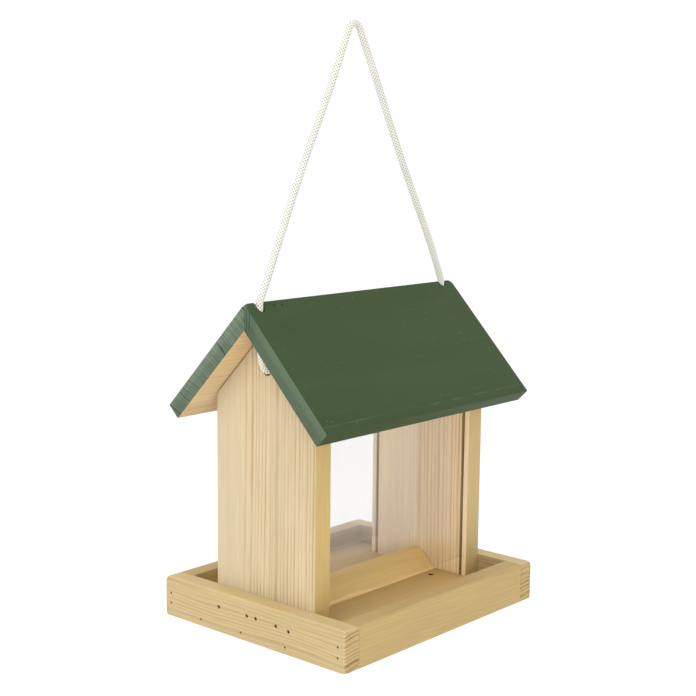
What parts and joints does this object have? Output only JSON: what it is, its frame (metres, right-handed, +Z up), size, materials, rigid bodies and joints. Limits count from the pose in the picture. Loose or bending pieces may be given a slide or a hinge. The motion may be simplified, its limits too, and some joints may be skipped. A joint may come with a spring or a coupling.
{
  "type": "hanging bird feeder",
  "caption": "Hanging wooden bird feeder: a green gabled roof that lifts on its white rope, clear sliding windows and a railed seed tray.",
  "frame": {"origin": "underside of the top of the rope loop, where a hook carries the feeder", "axes": "+X along the roof's ridge, +Y across it, +Z up"},
  "size_m": [0.21, 0.163, 0.398],
  "materials": {
    "pine_wall": "planed",
    "pine_rail": "planed",
    "pine_floor": "planed",
    "roof_stain": "satin stain",
    "acrylic": "polished",
    "steel": "bright",
    "rope": "braided"
  },
  "bodies": {
    "house": {"tray_rail_left": "pine_rail", "tray_rail_right": "pine_rail", "tray_rail_front": "pine_rail", "tray_rail_back": "pine_rail", "floor_board": "pine_floor", "gable_wall_left": "pine_wall", "gable_wall_right": "pine_wall", "seed_divider": "pine_floor", "window_pins": "steel", "rail_corner_nails": "steel", "wall_nails": "steel", "floor_nails": "steel", "divider_nails": "steel", "rope_loop": "rope", "rope_strand_left": "rope", "rope_strand_right": "rope", "rope_knot_left": "rope", "rope_knot_right": "rope"},
    "roof": {"roof_board_front": "roof_stain", "roof_board_back": "roof_stain", "ridge_nails": "steel"},
    "front_window": {"window_front": "acrylic"},
    "back_window": {"window_back": "acrylic"}
  },
  "joints": [
    {"name": "roof_lift", "type": "slide", "parent": "house", "child": "roof", "axis": [0, 0, 1], "range_m": [0, 0.07], "deforming": ["rope_loop", "rope_strand_left", "rope_strand_right"]},
    {"name": "front_window_lift", "type": "slide", "parent": "house", "child": "front_window", "axis": [0, 0, 1], "range_m": [0, 0.009]},
    {"name": "back_window_lift", "type": "slide", "parent": "house", "child": "back_window", "axis": [0, 0, 1], "range_m": [0, 0.009]}
  ]
}
